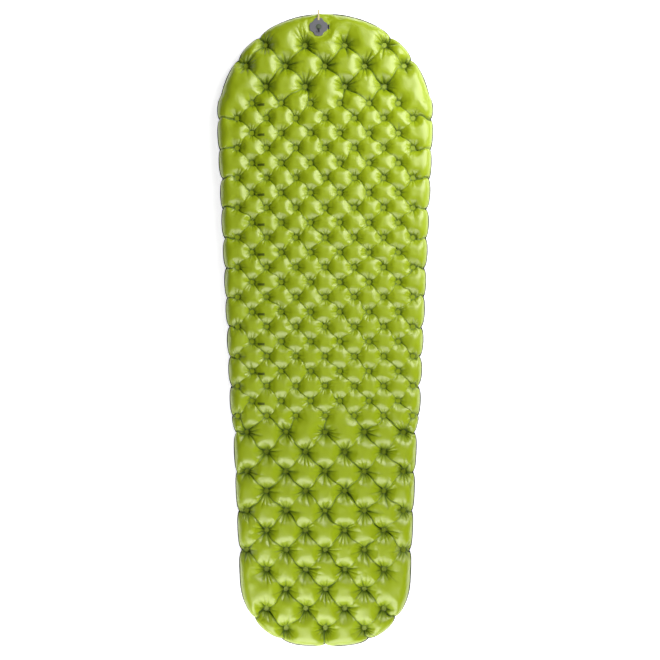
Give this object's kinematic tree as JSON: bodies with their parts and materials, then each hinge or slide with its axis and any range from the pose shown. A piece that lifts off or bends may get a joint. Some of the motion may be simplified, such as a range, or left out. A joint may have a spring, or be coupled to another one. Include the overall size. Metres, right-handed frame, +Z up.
{
  "type": "inflatable sleeping pad",
  "caption": "Mummy-shaped inflatable sleeping pad with a spot-welded cell lattice, two cell layers under the torso, a welded rim and a one-way valve with pull-out plug.",
  "frame": {"origin": "on the underside, below the middle of the pad's bounding box", "axes": "+X across the pad, +Y towards the head end and valve, +Z up from the ground"},
  "size_m": [0.5558, 1.6578, 0.0631],
  "materials": {
    "top_fabric": "satin coated nylon, lime green",
    "underside_fabric": "matt coated nylon, charcoal",
    "seam": "heat-sealed two-layer rim, dark green grey",
    "fibre_fill": "loose synthetic insulating fibre",
    "foil_film": "vapour-deposited reflective film",
    "core_fabric": "thin laminated nylon, uncoloured",
    "weld_spot": "pressed weld spot, satin green",
    "weld_spot_underside": "pressed weld spot, charcoal",
    "patch_film": "laminated reinforcing ring",
    "valve_body": "moulded valve base, dark grey",
    "valve_cap": "moulded cap, mid grey",
    "valve_rubber": "soft black moulding",
    "flap_silicone": "translucent grey silicone",
    "button_plastic": "grey-green soft-touch moulding",
    "tab_rubber": "pale yellow pull tab"
  },
  "bodies": {
    "pad": {"bottom_sheet": "underside_fabric", "top_sheet": "top_fabric", "perimeter_seam": "seam", "insulation_fill": "fibre_fill", "reflective_film": "foil_film", "core_sheet": "core_fabric", "core_ties_upper": "core_fabric", "core_ties_lower": "core_fabric", "torso_welds_upper": "weld_spot", "torso_welds_lower": "weld_spot_underside", "head_welds": "weld_spot", "leg_welds": "weld_spot", "valve_patch": "patch_film", "valve_flange": "valve_body"},
    "deflate_plug_assembly": {"deflate_plug": "valve_cap", "deflate_gasket": "valve_rubber", "deflate_strap": "valve_rubber", "check_grille": "valve_body", "pull_tab": "tab_rubber"},
    "inflate_stopper_assembly": {"inflate_stopper": "valve_rubber", "stopper_ring": "flap_silicone", "inflate_grip": "button_plastic", "inflate_strap": "valve_rubber"},
    "vent_poppet": {"check_flap": "flap_silicone", "vent_button": "button_plastic"}
  },
  "joints": [
    {"name": "deflate_plug_hinge", "type": "hinge", "parent": "pad", "child": "deflate_plug_assembly", "pos_m": [0.01, 0.785, 0.0593], "axis": [0, 1, 0], "range_deg": [0, 110]},
    {"name": "inflate_stopper_hinge", "type": "hinge", "parent": "deflate_plug_assembly", "child": "inflate_stopper_assembly", "pos_m": [-0.017, 0.7725, 0.0612], "axis": [1, 0, 0], "range_deg": [0, 120]},
    {"name": "vent_press", "type": "slide", "parent": "deflate_plug_assembly", "child": "vent_poppet", "axis": [0, 0, 1], "range_m": [-0.002, 0], "stiffness_N_per_m": 250, "springref_m": 0.0008}
  ]
}
